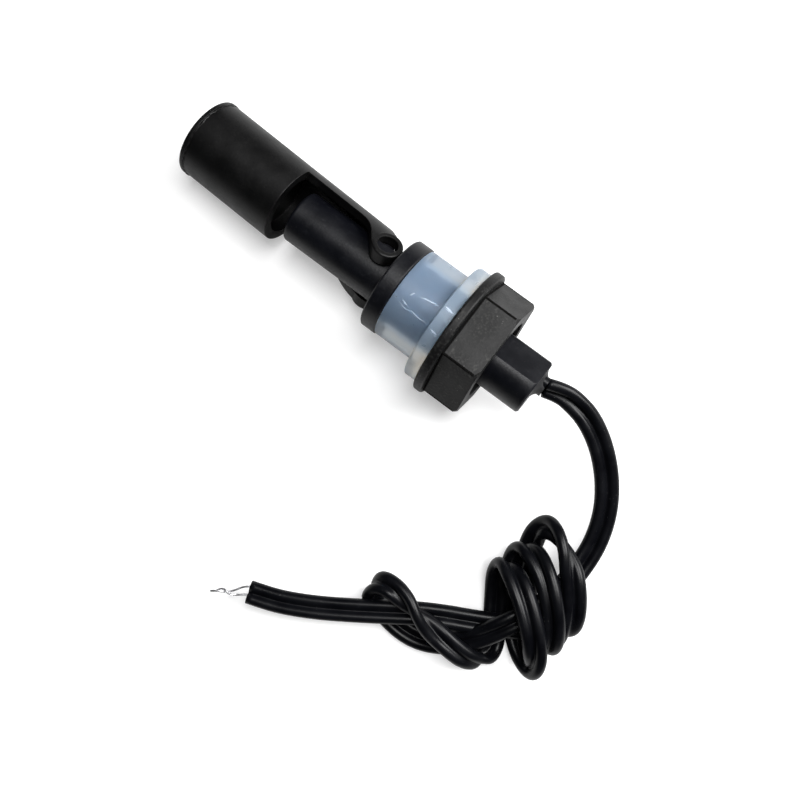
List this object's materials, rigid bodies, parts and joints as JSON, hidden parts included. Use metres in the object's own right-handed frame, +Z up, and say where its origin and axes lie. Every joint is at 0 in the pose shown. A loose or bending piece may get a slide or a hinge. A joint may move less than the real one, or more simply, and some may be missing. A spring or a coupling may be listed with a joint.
{
  "type": "float level switch",
  "caption": "Side-mounted float level switch for a tank wall: hinged black float on a stem, translucent sealing sleeve, flanged hexagon nut and a knotted twin cord with bare ends.",
  "frame": {"origin": "on the switch's axis, at the front face of the sleeve's flange, which is the outer face of the tank wall", "axes": "+X along the switch towards the float's tip, pitched down by 3.4 degrees as it lies on the bench; +Z up from the bench; the cord leaves towards -X and lies on the +Y side"},
  "size_m": [0.1304, 0.0926, 0.0301],
  "materials": {
    "body_plastic": "black polypropylene, satin on the stem, dull on the shank",
    "float_plastic": "black polypropylene with a dull moulded skin",
    "nut_plastic": "black polypropylene, scuffed and dusty",
    "silicone": "translucent milky silicone rubber",
    "magnet": "grey ferrite",
    "reed_glass": "greenish sealing glass",
    "reed_metal": "nickel iron",
    "solder": "tin solder",
    "shrink": "shrunk polyolefin tube",
    "inner_wire": "red wire insulation",
    "resin": "grey potting resin",
    "cord_pvc": "glossy black flexible vinyl",
    "tinned_wire": "tinned copper strand"
  },
  "bodies": {
    "switch": {"switch_body": "body_plastic", "reed_glass": "reed_glass", "reed_blade_front": "reed_metal", "reed_blade_rear": "reed_metal", "solder_joint_front": "solder", "solder_joint_rear": "solder", "shrink_sleeve": "shrink", "inner_wire_long": "inner_wire", "inner_wire_short": "inner_wire", "cord_root": "cord_pvc", "potting_resin": "resin", "cord_lead": "cord_pvc", "cord_knot": "cord_pvc", "cord_loop": "cord_pvc", "cord_end": "cord_pvc", "bare_strand_a": "tinned_wire", "bare_strand_b": "tinned_wire"},
    "float": {"float_shell": "float_plastic", "float_cap": "float_plastic", "float_magnet": "magnet"},
    "sleeve": {"sealing_sleeve": "silicone"},
    "nut": {"clamp_nut": "nut_plastic"}
  },
  "joints": [
    {"name": "float_swing", "type": "hinge", "parent": "switch", "child": "float", "pos_m": [0.01762, 0, -0.00106], "axis": [-0.0483, 0.5948, -0.8024], "range_deg": [-5.16, 36.84]},
    {"name": "sleeve_travel", "type": "slide", "parent": "switch", "child": "sleeve", "axis": [-0.9982, 0, 0.06], "range_m": [0, 0.0045]},
    {"name": "nut_turn", "type": "hinge", "parent": "sleeve", "child": "nut", "pos_m": [0, 0, 0], "axis": [-0.9982, 0, 0.06], "range_deg": [0, 1080]}
  ],
  "couplings": [
    {"joint": "sleeve_travel", "follows": "nut_turn", "m_per_rad": 0.00023873}
  ]
}
